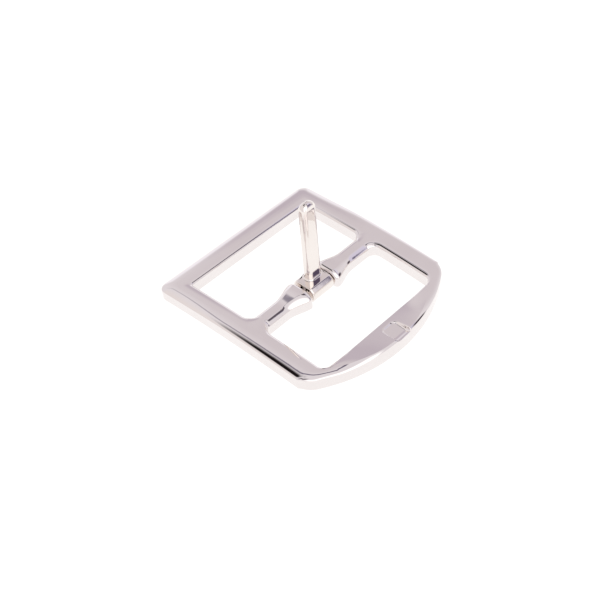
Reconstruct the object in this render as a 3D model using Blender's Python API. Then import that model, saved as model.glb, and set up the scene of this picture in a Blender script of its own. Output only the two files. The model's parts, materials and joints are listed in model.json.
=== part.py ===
"""Centre-bar belt buckle in metres: one cast frame, and the tongue that turns on its bar.

The frame is a ring with a heel bar, two side rails and a bowed front bar. A centre bar
joins the rails; it thins to a round axle between two shoulders. The tongue is a barrel
closed round that axle, with a prong that stands on it. X runs from the heel to the
front, Y across the strap and Z up from the surface that the heel and front rest on.
"""

import math

import bmesh
import bpy
from mathutils import Vector

MM = 0.001

# Plan of the frame
LENGTH = 55.13 * MM
HEEL_WIDTH = 50.0 * MM
FRONT_WIDTH = 47.72 * MM
FRONT_BOW = 7.87 * MM
HEEL_BAR_DEPTH = 6.27 * MM
RAIL_WIDTH = 5.71 * MM
FRONT_BAR_DEPTH = 6.75 * MM
BAR_FROM_HEEL = 27.85 * MM
HEEL_CORNER_RADIUS = 2.4 * MM
FRONT_CORNER_RADIUS = 1.7 * MM
HEEL_WINDOW_RADIUS = 0.4 * MM
BAR_FILLET_RADIUS = 2.1 * MM
FRONT_WINDOW_RADIUS = 2.0 * MM

# Section of the frame
ARCH_RISE = 1.05 * MM
ARCH_HALF_SPAN = 25.0 * MM
ARCH_FLAT_HALF = 4.6 * MM
FOOT_ROUND = 0.3 * MM
WALL_HEIGHT = 2.4 * MM
RAIL_HEIGHT = 3.5 * MM
EDGE_ROLL = 1.2 * MM
CREST_RISE = 1.0 * MM
CREST_ROLL = 0.5 * MM
LIP_DROP = 1.0 * MM
FRONT_EASE_LENGTH = 5.0 * MM
FRONT_EASE_WIDTH = 12.0 * MM

# How finely curves are cut
STRAIGHT_STEPS = 6
RAIL_STEPS = 12
CORNER_STEPS = 6
SMALL_CORNER_STEPS = 3
FILLET_STEPS = 5
BOW_STEPS = 22
BAR_STEPS = 13
NOSE_STEPS = 4
ROLL_STEPS = 3
TIP_STEPS = 4
PRONG_CORNER_STEPS = 4
ROUND_SEGMENTS = 20
ARCH_CUTS = (8.0 * MM, 12.0 * MM, 16.0 * MM, 20.0 * MM)
SHARP_ANGLE = math.radians(35)

# Centre bar, from a rail to its shoulder
BAR_HALF_WIDTH = 2.35 * MM
SHOULDER_HALF_WIDTH = 4.0 * MM
SHOULDER_FLARE = 7.0 * MM
SHOULDER_ROUND = 0.9 * MM
SHOULDER_RISE = 0.6 * MM
SHOULDER_END = 3.9 * MM
AXLE_RADIUS = 0.8 * MM
AXLE_HEIGHT = 3.6 * MM
AXLE_SINK = 1.5 * MM

# Tongue
TURN_GAP = 0.3 * MM
BARREL_HALF_LENGTH = 3.4 * MM
BARREL_HALF_DEPTH = 3.55 * MM
BARREL_TOP_HALF_DEPTH = 2.35 * MM
BARREL_FOOT_HALF_DEPTH = 2.75 * MM
BARREL_TOP = 1.55 * MM
BARREL_FOOT = -2.4 * MM
BARREL_SIDE_TOP = -0.4 * MM
BARREL_SIDE_FOOT = -1.3 * MM
BARREL_SIDE_TAPER = 0.15 * MM
BARREL_BEVEL = 0.75 * MM
BARREL_EDGE_ROUND = 0.25 * MM
PRONG_BACK = 0.74 * MM
PRONG_SIDE = 0.6 * MM
PRONG_WIDTH = 4.15 * MM
PRONG_THICKNESS = 2.5 * MM
PRONG_REACH = 23.6 * MM
PRONG_EDGE_ROUND = 0.65 * MM
PRONG_TIP_ROUND = 1.15 * MM
PRONG_TIP_TURN = math.radians(80)
PRONG_LEAST_ROUND = 0.1 * MM
PRONG_FILLET = 0.5 * MM
PRONG_SINK = 0.3 * MM

# Rest for the prong's tip in the front bar
POCKET_WIDTH = PRONG_WIDTH + 1.0 * MM
POCKET_SIDE = PRONG_SIDE + 0.25 * MM
POCKET_END_WALL = 0.9 * MM
POCKET_FLOOR = 2.95 * MM
POCKET_DEPTH = 3.0 * MM
POCKET_ROUND = 0.9 * MM
POCKET_ROUND_STEPS = 4

# Colours of the plating
FRAME_COLOR = (0.80, 0.78, 0.80)
TONGUE_COLOR = (0.80, 0.77, 0.77)
PLATING_ROUGHNESS = 0.07

# Positions that follow from the sizes above
HEEL_X = -LENGTH / 2
HEEL_WINDOW_X = HEEL_X + HEEL_BAR_DEPTH
BAR_X = HEEL_X + BAR_FROM_HEEL
FRONT_X = LENGTH / 2
FRONT_CORNER_X = FRONT_X - FRONT_BOW
FRONT_WINDOW_X = FRONT_X - FRONT_BAR_DEPTH
POCKET_LENGTH = FRONT_BAR_DEPTH - POCKET_END_WALL


def arc(center, radius, start, end, steps):
    """Points on an arc, from start to end in degrees."""
    points = []
    for step in range(steps + 1):
        angle = math.radians(start + (end - start) * step / steps)
        points.append(center + radius * Vector((math.cos(angle), math.sin(angle))))
    return points


def straight(start, end, steps):
    """Points from start up to, and without, end."""
    return [start.lerp(end, step / steps) for step in range(steps)]


def rail_outer_y(x):
    """Outer face of the +Y rail, which runs in from the heel to the front."""
    along = (x - HEEL_X) / (FRONT_CORNER_X - HEEL_X)
    return (HEEL_WIDTH + (FRONT_WIDTH - HEEL_WIDTH) * along) / 2


def rail_inner_y(x):
    """Inner face of the +Y rail."""
    return rail_outer_y(x) - RAIL_WIDTH


def mirrored(half):
    """Closed loop from its y >= 0 half, whose ends lie on y = 0."""
    other = [Vector((point.x, -point.y)) for point in reversed(half[1:-1])]
    return half + other


def outer_half():
    """Outline from the middle of the heel, round the +Y side, to the middle of the bow."""
    heel = HEEL_CORNER_RADIUS
    half = straight(Vector((HEEL_X, 0)), Vector((HEEL_X, HEEL_WIDTH / 2 - heel)), STRAIGHT_STEPS)
    corner = Vector((HEEL_X + heel, HEEL_WIDTH / 2 - heel))
    half += arc(corner, heel, 180, 90, CORNER_STEPS)
    chord = FRONT_WIDTH / 2
    bow_radius = (chord**2 + FRONT_BOW**2) / (2 * FRONT_BOW)
    bow_center = Vector((FRONT_X - bow_radius, 0))
    bow = arc(bow_center, bow_radius, math.degrees(math.asin(chord / bow_radius)), 0, BOW_STEPS)
    tip = bow[0]
    near = Vector((tip.x - FRONT_CORNER_RADIUS, rail_outer_y(tip.x - FRONT_CORNER_RADIUS)))
    rest = [point for point in bow if (point - tip).length > FRONT_CORNER_RADIUS]
    half += straight(half[-1], near, RAIL_STEPS)[1:]
    for step in range(FILLET_STEPS + 1):
        share = step / FILLET_STEPS
        half.append(near.lerp(tip, share).lerp(tip.lerp(rest[0], share), share))
    return half + rest[1:]


def bar_half_width(distance):
    """Half width of the centre bar at a distance from a shoulder's end face."""
    share = min(distance / SHOULDER_FLARE, 1.0)
    flare = 0.5 + 0.5 * math.cos(math.pi * share)
    width = BAR_HALF_WIDTH + (SHOULDER_HALF_WIDTH - BAR_HALF_WIDTH) * flare
    if distance < SHOULDER_ROUND:
        lost = SHOULDER_ROUND - distance
        width -= SHOULDER_ROUND - math.sqrt(SHOULDER_ROUND**2 - lost**2)
    return width


def bar_side(fillet_y, sign):
    """One side of the +Y half of the centre bar, from its rail fillet to its end face."""
    reach = fillet_y - SHOULDER_END
    flat = reach - SHOULDER_ROUND
    distances = [reach - flat * step / BAR_STEPS for step in range(BAR_STEPS)]
    distances += [SHOULDER_ROUND * (1 - step / NOSE_STEPS) for step in range(NOSE_STEPS + 1)]
    side = []
    for distance in distances:
        side.append(Vector((BAR_X + sign * bar_half_width(distance), SHOULDER_END + distance)))
    return side


def rear_half():
    """Inner outline on the +Y side, from the middle of the heel bar to the shoulder."""
    corner = HEEL_WINDOW_RADIUS
    top = rail_inner_y(HEEL_WINDOW_X) - corner
    half = straight(Vector((HEEL_WINDOW_X, 0)), Vector((HEEL_WINDOW_X, top)), STRAIGHT_STEPS)
    half += arc(Vector((HEEL_WINDOW_X + corner, top)), corner, 180, 90, SMALL_CORNER_STEPS)
    fillet = BAR_FILLET_RADIUS
    x = BAR_X - BAR_HALF_WIDTH - fillet
    center = Vector((x, rail_inner_y(x) - fillet))
    half += straight(half[-1], Vector((x, rail_inner_y(x))), STRAIGHT_STEPS)[1:]
    half += arc(center, fillet, 90, 0, FILLET_STEPS)
    return half + bar_side(center.y, -1)[1:]


def front_half():
    """Inner outline on the +Y side, from the shoulder to the middle of the front bar."""
    fillet = BAR_FILLET_RADIUS
    x = BAR_X + BAR_HALF_WIDTH + fillet
    center = Vector((x, rail_inner_y(x) - fillet))
    half = list(reversed(bar_side(center.y, 1)))[:-1]
    half += arc(center, fillet, 180, 90, FILLET_STEPS)
    corner = FRONT_WINDOW_RADIUS
    x = FRONT_WINDOW_X - corner
    top = rail_inner_y(x) - corner
    half += straight(half[-1], Vector((x, top + corner)), STRAIGHT_STEPS)[1:]
    half += arc(Vector((x, top)), corner, 90, 0, FILLET_STEPS)
    half += straight(half[-1], Vector((FRONT_WINDOW_X, 0)), STRAIGHT_STEPS)[1:]
    return half + [Vector((FRONT_WINDOW_X, 0))]


def smooth(value):
    """Ease from 0 to 1."""
    value = min(max(value, 0.0), 1.0)
    return value * value * (3 - 2 * value)


def front_share(point):
    """How far a point has passed from a rail into the front bar, 0 to 1."""
    forward = smooth((point.x - FRONT_WINDOW_X) / FRONT_EASE_LENGTH + 0.5)
    return forward * smooth((FRONT_WIDTH / 2 - abs(point.y)) / FRONT_EASE_WIDTH)


def outer_section(point):
    """Wall height, top height and roll width along the outer outline."""
    share = front_share(point)
    top = RAIL_HEIGHT + CREST_RISE * share
    wall = WALL_HEIGHT + (CREST_RISE + RAIL_HEIGHT - WALL_HEIGHT - CREST_ROLL) * share
    return wall, top, EDGE_ROLL + (CREST_ROLL - EDGE_ROLL) * share


def inner_section(point):
    """Wall height, top height and roll width along the inner outline."""
    share = front_share(point)
    top = RAIL_HEIGHT - LIP_DROP * share
    wall = WALL_HEIGHT + (RAIL_HEIGHT - LIP_DROP - CREST_ROLL - WALL_HEIGHT) * share
    if abs(point.x - BAR_X) < SHOULDER_HALF_WIDTH + EDGE_ROLL:
        near = smooth(1 - (abs(point.y) - SHOULDER_END) / SHOULDER_FLARE)
        top += SHOULDER_RISE * near
        wall += SHOULDER_RISE * near / 2
    return wall, top, EDGE_ROLL + (CREST_ROLL - EDGE_ROLL) * share


def normals_into_metal(loop, turn):
    """Unit normals of a closed loop, to its left for turn 1 and to its right for -1."""
    result = []
    for index, point in enumerate(loop):
        before = (point - loop[index - 1]).normalized()
        after = (loop[(index + 1) % len(loop)] - point).normalized()
        along = (before + after).normalized()
        result.append(turn * Vector((-along.y, along.x)))
    return result


def wall_levels(loop, turn, section):
    """Loops of 3-D points from the foot of a wall, up over its rolled edge."""
    normals = normals_into_metal(loop, turn)
    measures = [section(point) for point in loop]

    def level(inset, height):
        return [
            (*(point + normal * inset(sizes)), height(sizes))
            for point, normal, sizes in zip(loop, normals, measures)
        ]

    levels = [
        level(lambda sizes: FOOT_ROUND, lambda sizes: 0.0),
        level(lambda sizes: 0.0, lambda sizes: FOOT_ROUND),
    ]
    for step in range(ROLL_STEPS + 1):
        turned = math.pi / 2 * step / ROLL_STEPS
        levels.append(
            level(
                lambda sizes: sizes[2] * (1 - math.cos(turned)),
                lambda sizes: sizes[0] + (sizes[1] - sizes[0]) * math.sin(turned),
            )
        )
    return levels


def add_wall(bm, levels):
    """Skin the levels with quads and return the edges of the first and last loop."""
    rings = [[bm.verts.new(point) for point in level] for level in levels]
    count = len(rings[0])
    for lower, upper in zip(rings, rings[1:]):
        for index in range(count):
            after = (index + 1) % count
            bm.faces.new((lower[index], lower[after], upper[after], upper[index]))
    ends = []
    for ring in (rings[0], rings[-1]):
        ends.append([bm.edges.get((ring[i], ring[(i + 1) % count])) for i in range(count)])
    return ends


def arch(x):
    """Height of the underside: flat feet at both ends and a flat under the centre bar."""
    def curve(distance):
        return ARCH_RISE * (1 - (distance / ARCH_HALF_SPAN) ** 2)

    return min(max(curve(abs(x)), 0.0), curve(ARCH_FLAT_HALF))


def add_object(name, bm, material, location=(0, 0, 0)):
    """Put a bmesh into a smooth-shaded object."""
    bmesh.ops.recalc_face_normals(bm, faces=bm.faces)
    mesh = bpy.data.meshes.new(name)
    bm.to_mesh(mesh)
    bm.free()
    mesh.shade_smooth()
    mesh.set_sharp_from_angle(angle=SHARP_ANGLE)
    if material:
        mesh.materials.append(material)
    made = bpy.data.objects.new(name, mesh)
    made.location = location
    bpy.context.collection.objects.link(made)
    return made


def metal(name, color, roughness):
    """Plated metal."""
    material = bpy.data.materials.new(name)
    material.use_nodes = True
    shader = material.node_tree.nodes["Principled BSDF"]
    shader.inputs["Base Color"].default_value = (*color, 1)
    shader.inputs["Metallic"].default_value = 1
    shader.inputs["Roughness"].default_value = roughness
    return material


def boolean(target, tool, operation):
    """Cut or join a hidden helper object."""
    tool.hide_render = True
    tool.display_type = "WIRE"
    modifier = target.modifiers.new(tool.name, "BOOLEAN")
    modifier.operation = operation
    modifier.solver = "EXACT"
    modifier.object = tool


def add_cylinder(name, radius, length, location):
    """Cylinder along Y about a location."""
    bm = bmesh.new()
    low = []
    high = []
    for step in range(ROUND_SEGMENTS):
        angle = 2 * math.pi * (step + 0.5) / ROUND_SEGMENTS
        x = radius * math.cos(angle)
        z = radius * math.sin(angle)
        low.append(bm.verts.new((x, -length / 2, z)))
        high.append(bm.verts.new((x, length / 2, z)))
    bm.faces.new(low)
    bm.faces.new(high)
    for index in range(ROUND_SEGMENTS):
        after = (index + 1) % ROUND_SEGMENTS
        bm.faces.new((low[index], low[after], high[after], high[index]))
    return add_object(name, bm, None, location)


def add_rounded_block(name, size, radius, location):
    """Block with all of its edges rounded."""
    bm = bmesh.new()
    bmesh.ops.create_cube(bm, size=1)
    bmesh.ops.scale(bm, vec=size, verts=bm.verts)
    bmesh.ops.bevel(
        bm,
        geom=bm.edges,
        offset=radius,
        segments=POCKET_ROUND_STEPS,
        profile=0.5,
        affect="EDGES",
    )
    return add_object(name, bm, None, location)


def add_frame(material):
    """Ring with its two half bars, the axle between them and the rest for the tip."""
    bm = bmesh.new()
    outer_ends = add_wall(bm, wall_levels(mirrored(outer_half()), -1, outer_section))
    inner_ends = add_wall(bm, wall_levels(mirrored(rear_half() + front_half()), 1, inner_section))
    for outer_edges, inner_edges in zip(outer_ends, inner_ends):
        bmesh.ops.triangle_fill(
            bm, use_beauty=True, edges=outer_edges + inner_edges, normal=(0, 0, 1)
        )
    cuts = (*ARCH_CUTS, ARCH_HALF_SPAN)
    for x in (*[-cut for cut in cuts], *cuts):
        bmesh.ops.bisect_plane(
            bm,
            geom=bm.verts[:] + bm.edges[:] + bm.faces[:],
            dist=0.001 * MM,
            plane_co=(x, 0, 0),
            plane_no=(1, 0, 0),
        )
    for vert in bm.verts:
        vert.co.z += arch(vert.co.x)
    frame = add_object("frame", bm, material)
    length = 2 * (SHOULDER_END + AXLE_SINK)
    axle = add_cylinder("axle_core", AXLE_RADIUS, length, (BAR_X, 0, AXLE_HEIGHT))
    boolean(frame, axle, "UNION")
    pocket = add_rounded_block(
        "pocket_cutter",
        (POCKET_LENGTH, POCKET_WIDTH, POCKET_DEPTH),
        POCKET_ROUND,
        (FRONT_WINDOW_X + POCKET_LENGTH / 2, POCKET_SIDE, POCKET_FLOOR + POCKET_DEPTH / 2),
    )
    boolean(frame, pocket, "DIFFERENCE")
    return frame


def barrel_section():
    """Half of the barrel's outline in X and Z about the axle, from its top to its foot."""
    return [
        (BARREL_TOP_HALF_DEPTH, BARREL_TOP),
        (BARREL_TOP_HALF_DEPTH + BARREL_BEVEL, BARREL_TOP - BARREL_BEVEL),
        (BARREL_HALF_DEPTH, BARREL_SIDE_TOP),
        (BARREL_HALF_DEPTH - BARREL_SIDE_TAPER, BARREL_SIDE_FOOT),
        (BARREL_FOOT_HALF_DEPTH, BARREL_FOOT),
    ]


def add_tongue(material):
    """Barrel with its bore and the prong that stands on it, about the axle's axis."""
    bm = bmesh.new()
    half = barrel_section()
    outline = half + [(-x, z) for x, z in reversed(half)]
    inner = BARREL_HALF_LENGTH - BARREL_EDGE_ROUND
    shrunk = 1 - BARREL_EDGE_ROUND / BARREL_TOP
    stations = (
        (-BARREL_HALF_LENGTH, shrunk),
        (-inner, 1),
        (inner, 1),
        (BARREL_HALF_LENGTH, shrunk),
    )
    rings = []
    for y, share in stations:
        rings.append([bm.verts.new((x * share, y, z * share)) for x, z in outline])
    bm.faces.new(rings[0])
    bm.faces.new(rings[-1])
    for near, far in zip(rings, rings[1:]):
        for index in range(len(outline)):
            after = (index + 1) % len(outline)
            bm.faces.new((near[index], near[after], far[after], far[index]))
    place = (BAR_X, 0, AXLE_HEIGHT)
    tongue = add_object("tongue", bm, material, place)
    prong = add_prong(place)
    boolean(tongue, prong, "UNION")
    bore = add_cylinder("bore_cutter", AXLE_RADIUS + TURN_GAP, 3 * BARREL_HALF_LENGTH, place)
    boolean(tongue, bore, "DIFFERENCE")
    return tongue


def rounded_rectangle(half_x, half_y, radius):
    """Closed outline about the origin."""
    points = []
    for quarter, (sign_x, sign_y) in enumerate(((1, 1), (-1, 1), (-1, -1), (1, -1))):
        center = Vector((sign_x * (half_x - radius), sign_y * (half_y - radius)))
        points += arc(center, radius, 90 * quarter, 90 * quarter + 90, PRONG_CORNER_STEPS)
    return points


def add_prong(place):
    """Straight prong with a filleted foot, rounded edges and a rounded tip."""
    foot = BARREL_TOP
    stations = [(foot - PRONG_SINK, PRONG_FILLET), (foot, PRONG_FILLET)]
    for step in range(1, ROLL_STEPS + 1):
        angle = math.pi / 2 * step / ROLL_STEPS
        stations.append((foot + PRONG_FILLET * math.sin(angle), PRONG_FILLET * math.cos(angle) ** 2))
    for step in range(TIP_STEPS + 1):
        angle = PRONG_TIP_TURN * step / TIP_STEPS
        height = PRONG_REACH - PRONG_TIP_ROUND * (1 - math.sin(angle))
        stations.append((height, -PRONG_TIP_ROUND * (1 - math.cos(angle))))
    bm = bmesh.new()
    rings = []
    for height, spread in stations:
        round_here = max(PRONG_EDGE_ROUND + spread, PRONG_LEAST_ROUND)
        outline = rounded_rectangle(
            PRONG_THICKNESS / 2 + spread, PRONG_WIDTH / 2 + spread, round_here
        )
        ring = [bm.verts.new((x - PRONG_BACK, y + PRONG_SIDE, height)) for x, y in outline]
        rings.append(ring)
    bm.faces.new(rings[0])
    bm.faces.new(rings[-1])
    for lower, upper in zip(rings, rings[1:]):
        for index in range(len(lower)):
            after = (index + 1) % len(lower)
            bm.faces.new((lower[index], lower[after], upper[after], upper[index]))
    return add_object("prong_core", bm, None, place)


def main():
    """Clear the scene and build both castings."""
    for existing in list(bpy.data.objects):
        bpy.data.objects.remove(existing, do_unlink=True)
    add_frame(metal("frame_plating", FRAME_COLOR, PLATING_ROUGHNESS))
    add_tongue(metal("tongue_plating", TONGUE_COLOR, PLATING_ROUGHNESS))


main()
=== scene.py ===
"""Looks of a plated centre-bar buckle: the cast frame and the tongue that turns on its bar.

Both castings are surfaces worked out on grids. The frame's plan is a set of stations. Each
station has a point on an edge of the metal and a point on the crest, the line that the top is
highest along, and a section runs through them: the underside, the foot's small round, the
upright wall and the crowned top. Three loops of stations share their crest points, so the
whole casting is one closed skin. The tongue is one stack of rounded rectangles.
"""

from __future__ import annotations

import json
import logging
import math
from dataclasses import dataclass, field
from enum import Enum

import bmesh
import bpy
import numpy as np
from mathutils import Matrix, Vector

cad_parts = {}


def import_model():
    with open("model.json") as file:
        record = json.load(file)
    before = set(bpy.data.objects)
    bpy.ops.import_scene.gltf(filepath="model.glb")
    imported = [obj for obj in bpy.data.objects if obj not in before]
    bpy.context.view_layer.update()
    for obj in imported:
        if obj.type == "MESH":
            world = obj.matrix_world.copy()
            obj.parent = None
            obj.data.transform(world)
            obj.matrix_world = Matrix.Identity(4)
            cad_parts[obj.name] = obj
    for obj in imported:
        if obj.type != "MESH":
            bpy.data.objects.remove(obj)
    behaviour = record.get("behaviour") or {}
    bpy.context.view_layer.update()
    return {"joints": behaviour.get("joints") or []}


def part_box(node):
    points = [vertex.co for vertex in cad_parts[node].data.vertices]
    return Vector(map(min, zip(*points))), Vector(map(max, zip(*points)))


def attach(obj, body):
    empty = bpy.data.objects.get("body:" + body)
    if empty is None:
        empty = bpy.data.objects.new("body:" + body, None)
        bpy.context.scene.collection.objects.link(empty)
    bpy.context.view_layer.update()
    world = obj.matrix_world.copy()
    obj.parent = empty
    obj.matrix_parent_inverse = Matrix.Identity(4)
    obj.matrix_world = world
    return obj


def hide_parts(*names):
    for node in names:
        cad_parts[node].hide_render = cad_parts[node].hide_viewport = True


LOG = logging.getLogger("buckle")
MM = 0.001
SENSOR_WIDTH = 36.0
BORE_SEGMENTS = 64
BORE_SHARP = math.radians(50)
WELD = 1e-8
FOOT_ROWS = 5
UNDER_ROWS = 4
TOP_ROWS = 40
WALL_SHARES = (0.3, 0.65, 0.9, 0.98)
HEEL_STATIONS = 20
HEEL_TURN_STATIONS = 41
RAIL_STATIONS = 24
JOIN_STATIONS = 17
FRONT_TURN_STATIONS = 49
BOW_STATIONS = 50
REST_STATIONS = 56
SHAFT_STATIONS = 40
NOSE_STATIONS = 14
END_STATIONS = 8
STRAIGHT_POINTS = 400
BOW_POINTS = 800
ARC_POINTS = 200
CORNER_POINTS = 13
SIDE_POINTS = 16
EDGE_POINTS = 7
FILLET_ROWS = 9
PRONG_ROWS = 30
TIP_ROWS = 20
BASE_SHARES = (0.0, 0.5)
CORNER_LIMIT = 0.999
ROUND = 2.0
# Places of the sockets on a colour Mix node
MIX_FACTOR = 0
MIX_LOW = 6
MIX_HIGH = 7
MIX_RESULT = 2
Array = np.ndarray


class Piece(Enum):
    """The castings: the CAD node, the body it rides on and its plating slot."""

    FRAME = ("frame", "frame", "frame_plating")
    TONGUE = ("tongue", "tongue", "tongue_plating")

    @property
    def node(self) -> str:
        """Name of the CAD node that the casting stands for."""
        return self.value[0]

    @property
    def body(self) -> str:
        """Name of the body that the casting moves with."""
        return self.value[1]

    @property
    def slot(self) -> str:
        """Name of the plating slot listed for the casting; the finish is added without it."""
        return self.value[2]


def smooth(value: Array | float) -> Array | float:
    """Ease from 0 to 1 by 3t^2 - 2t^3.

    Args:
        value: Share of the way, clipped to 0..1.

    Returns:
        The eased share.
    """
    clipped = np.clip(value, 0.0, 1.0)
    return clipped * clipped * (3.0 - 2.0 * clipped)


def mix(low: Array | float, high: Array | float, share: Array | float) -> Array | float:
    """Blend two values in a straight line.

    Args:
        low: Value at share 0.
        high: Value at share 1.
        share: How far from low to high.

    Returns:
        The blended value.
    """
    return low + (high - low) * share


def spaced(start: float, stop: float, count: int) -> Array:
    """Evenly spaced values from start, without the last one, which the next stretch begins with.

    Args:
        start: First value.
        stop: Value that the spacing leads to.
        count: Number of values, the one left out included.

    Returns:
        An array of count - 1 values.
    """
    return np.linspace(start, stop, count)[:-1]


def plan(x: Array | float, y: Array | float) -> Array:
    """Stack plan coordinates into points.

    Args:
        x: One x or an array of them.
        y: One y or an array of them.

    Returns:
        An (n, 2) array.
    """
    return np.stack(np.broadcast_arrays(x, y), axis=-1).astype(float).reshape(-1, 2)


def towards(pivot: Array, target: Array, reach: float) -> Array:
    """Points at one distance from a pivot, in the directions of other points.

    Args:
        pivot: Plan point that the directions start from.
        target: (n, 2) points that give the directions.
        reach: Distance from the pivot.

    Returns:
        (n, 2) points on the circle about the pivot.
    """
    offset = target - pivot
    return pivot + reach * offset / np.linalg.norm(offset, axis=1, keepdims=True)


def ray_hits(pivot: Array, line: Array, angles: Array) -> Array:
    """Where rays from a pivot meet a line that turns round it one way.

    The line's distance from the pivot is read as a function of its polar angle.

    Args:
        pivot: Plan point that the rays leave from.
        line: (n, 2) points of the line, dense enough to read between.
        angles: Ray directions in radians, within the line's own range.

    Returns:
        (len(angles), 2) points.
    """
    offset = line - pivot
    turned = np.arctan2(offset[:, 1], offset[:, 0])
    order = np.argsort(turned)
    reach = np.interp(angles, turned[order], np.hypot(offset[:, 0], offset[:, 1])[order])
    return pivot + reach[:, None] * plan(np.cos(angles), np.sin(angles))


def welded_mesh(name: str, grids: list[Array]) -> bpy.types.Object:
    """Join grids into one closed smooth mesh whose coincident points are one vertex.

    A grid is (rows, stations, 3), and each row closes on itself. Points are matched on a
    lattice finer than a hair, quads that lose a side become triangles, and faces that lose
    more are dropped. The faces are then turned outwards.

    Args:
        name: The object's name.
        grids: Surfaces in metres.

    Returns:
        The new object, at the origin.
    """
    blocks: list[Array] = []
    quads: list[Array] = []
    start = 0
    for grid in grids:
        rows, stations = grid.shape[:2]
        index = np.arange(rows * stations).reshape(rows, stations) + start
        after = np.roll(index, -1, axis=1)
        faces = np.stack([index[:-1], after[:-1], after[1:], index[1:]], axis=-1)
        quads.append(faces.reshape(-1, 4))
        blocks.append(grid.reshape(-1, 3))
        start += rows * stations
    everything = np.concatenate(blocks)
    lattice = np.round(everything / WELD).astype(np.int64)
    _, first, back = np.unique(lattice, axis=0, return_index=True, return_inverse=True)
    faces = back.reshape(-1)[np.concatenate(quads)]
    repeats = faces == np.roll(faces, 1, axis=1)
    whole = faces[repeats.sum(axis=1) == 0]
    pinched = repeats.sum(axis=1) == 1
    triangles = faces[pinched][~repeats[pinched]].reshape(-1, 3)
    mesh = bpy.data.meshes.new(name)
    mesh.from_pydata(everything[first].tolist(), [], whole.tolist() + triangles.tolist())
    work = bmesh.new()
    work.from_mesh(mesh)
    bmesh.ops.recalc_face_normals(work, faces=work.faces)
    work.to_mesh(mesh)
    work.free()
    mesh.shade_smooth()
    made = bpy.data.objects.new(name, mesh)
    bpy.context.collection.objects.link(made)
    return made


@dataclass
class Stations:
    """Matched plan points and section sizes along one loop of the frame, all in metres.

    Every array has one entry for each station. Heights are above the underside.
    """

    edge: Array
    crest: Array
    bottom: Array
    foot: Array
    wall: Array
    top: Array
    fullness: Array
    ramp: Array
    cap: Array

    @classmethod
    def joined(cls, parts: list[Stations]) -> Stations:
        """Put stretches of stations end to end.

        Args:
            parts: The stretches in order.

        Returns:
            All their stations.
        """
        names = vars(parts[0])
        return cls(**{name: np.concatenate([getattr(part, name) for part in parts]) for name in names})

    def mirrored(self) -> Stations:
        """Close a half loop, whose first and last stations lie on y = 0, by its mirror image.

        Returns:
            The stations of the whole loop.
        """

        def close(values: Array) -> Array:
            """Append the mirror image of all but the two end stations.

            Args:
                values: One value, or one plan point, for each station.

            Returns:
                The values round the whole loop.
            """
            other = values[1:-1][::-1]
            if values.ndim == 2:
                other = other * np.array([1.0, -1.0])
            return np.concatenate([values, other])

        return Stations(**{name: close(values) for name, values in vars(self).items()})

    def skin(self, top_rows: int) -> Array:
        """Carry the section round the loop.

        From the crest's foot the section runs out along the underside, round a quarter
        circle, up the wall, and over the top. The top rises by
        (1 - (1 - s)^p)^(1/p), where s is the share of the way from edge to crest and p the
        fullness, blended with a straight ramp. A cap above 1 stretches it upwards and cuts
        it off flat, which leaves a ridge on either side of a flat top.

        Args:
            top_rows: Rows from the wall's top to the crest.

        Returns:
            (rows, stations, 3) points.
        """
        width = np.linalg.norm(self.crest - self.edge, axis=1)
        turn = np.linspace(0.0, math.pi / 2, FOOT_ROWS)[:, None]
        under = np.linspace(1.0, 0.0, UNDER_ROWS)[:-1, None]
        climb = np.array(WALL_SHARES)[:, None]
        over = (1.0 - np.cos(math.pi * np.linspace(0.0, 1.0, top_rows)))[:, None] / 2

        foot_inset = self.foot * (1.0 - np.sin(turn))
        foot_rise = self.bottom + self.foot * (1.0 - np.cos(turn))
        under_inset = mix(self.foot, width, under)
        under_rise = self.bottom + 0.0 * under
        wall_rise = mix(self.bottom + self.foot, self.wall, climb)
        crown = (1.0 - (1.0 - over) ** self.fullness) ** (1.0 / self.fullness)
        crown = np.minimum(crown * self.cap, 1.0)
        top_rise = mix(self.wall, self.top, mix(crown, over, self.ramp))

        inset = np.concatenate([under_inset, foot_inset, 0.0 * wall_rise, over * width])
        rise = np.concatenate([under_rise, foot_rise, wall_rise, top_rise])
        share = (inset / width)[:, :, None]
        flat = mix(self.edge[None], self.crest[None], share)
        return np.concatenate([flat, rise[:, :, None]], axis=2)


@dataclass(frozen=True)
class Stretch:
    """Matched plan points along part of the ring: its outer edge, crest and inner edge."""

    outer: Array
    crest: Array
    inner: Array

    @classmethod
    def halved(cls, outer: Array, inner: Array) -> Stretch:
        """Make a stretch whose crest lies half way between its edges.

        Args:
            outer: (n, 2) points of the outer edge.
            inner: (n, 2) points of the inner edge.

        Returns:
            The stretch.
        """
        return cls(outer, mix(inner, outer, 0.5), inner)

    def turned(self, skip: int = 0) -> Stretch:
        """Run the other way.

        Args:
            skip: How many of the first points to leave out.

        Returns:
            The stretch with its points in the other order.
        """
        return Stretch(self.outer[skip:][::-1], self.crest[skip:][::-1], self.inner[skip:][::-1])


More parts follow.
